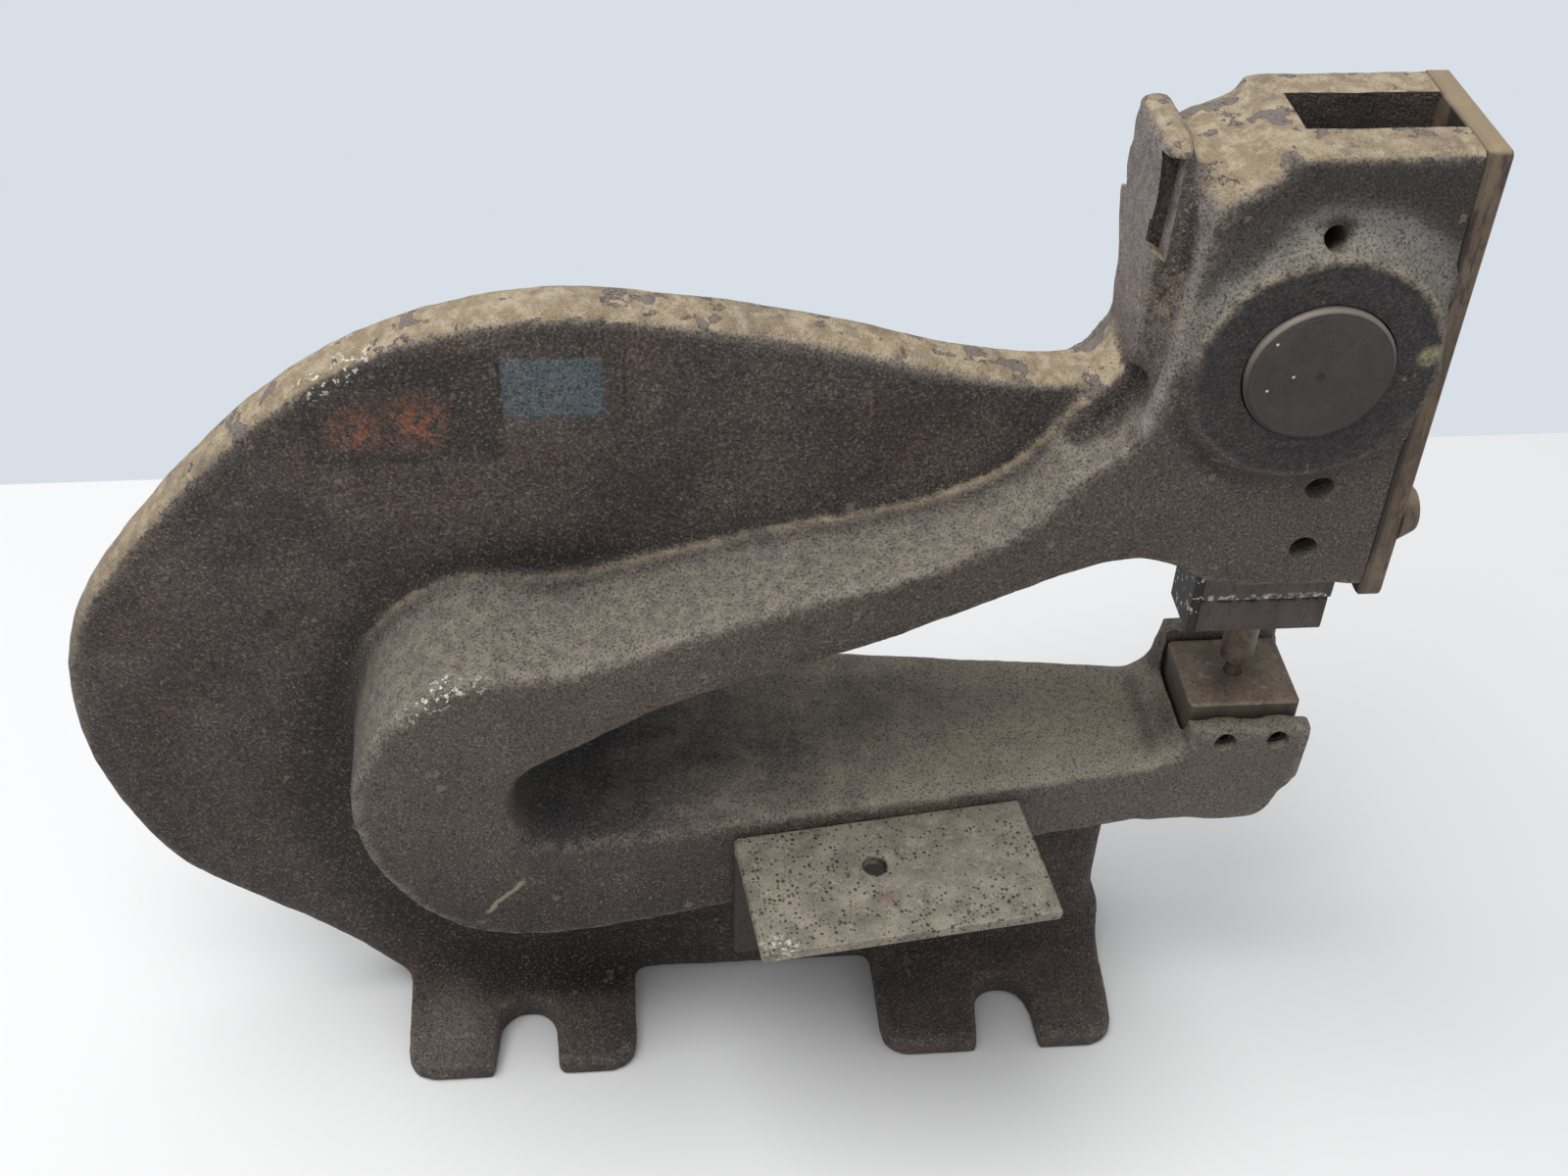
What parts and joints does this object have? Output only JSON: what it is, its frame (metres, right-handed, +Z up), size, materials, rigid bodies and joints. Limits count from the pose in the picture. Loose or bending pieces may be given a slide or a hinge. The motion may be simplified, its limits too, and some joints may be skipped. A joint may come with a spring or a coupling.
{
  "type": "lever hole punch",
  "caption": "Deep-throat bench hole punch: cast horseshoe frame on slotted feet, eccentric cross shaft, sliding ram with punch, die block and gauge bracket.",
  "frame": {"origin": "on the bench, under the middle of the machine's length and width", "axes": "+X from the frame's back towards the punch, +Z up, -Y towards the side with the gauge bracket"},
  "size_m": [0.266, 0.0952, 0.2186],
  "materials": {
    "cast_body": "rough sand casting, worn dark paint and dust",
    "cover_plate": "old bronze-brown steel",
    "shaft": "turned, darkened with oil",
    "ram": "ground, darkened with oil",
    "back_plate": "black steel",
    "punch": "ground tool steel, brown with age",
    "die": "ground tool steel, brown with age",
    "bracket": "bare steel with dark pits",
    "screws": "blackened"
  },
  "bodies": {
    "frame_body": {"frame": "cast_body", "cover_plate": "cover_plate", "cover_screw_lower_near": "screws", "cover_screw_lower_far": "screws", "cover_screw_upper_near": "screws", "cover_screw_upper_far": "screws", "die_block": "die", "die_screw_rear": "screws", "die_screw_front": "screws", "ram_screw_lower": "screws", "ram_screw_upper": "screws", "gauge_bracket": "bracket", "bracket_screw_left": "screws", "bracket_screw_right": "screws"},
    "shaft_body": {"eccentric_shaft": "shaft"},
    "ram_body": {"ram": "ram", "ram_back_plate": "back_plate", "back_plate_screw_lower": "screws", "back_plate_screw_upper": "screws", "punch_holder": "ram", "holder_screw_rear": "screws", "holder_screw_front": "screws", "punch": "punch"}
  },
  "joints": [
    {"name": "shaft_turn", "type": "hinge", "parent": "frame_body", "child": "shaft_body", "pos_m": [0.10161, 0.01082, 0.179], "axis": [0, -1, 0], "range_deg": [0, 70]},
    {"name": "ram_slide", "type": "slide", "parent": "frame_body", "child": "ram_body", "axis": [0, 0, 1], "range_m": [0, 0.00781]}
  ],
  "couplings": [
    {"joint": "ram_slide", "follows": "shaft_turn", "m_per_rad": 0.006385}
  ]
}
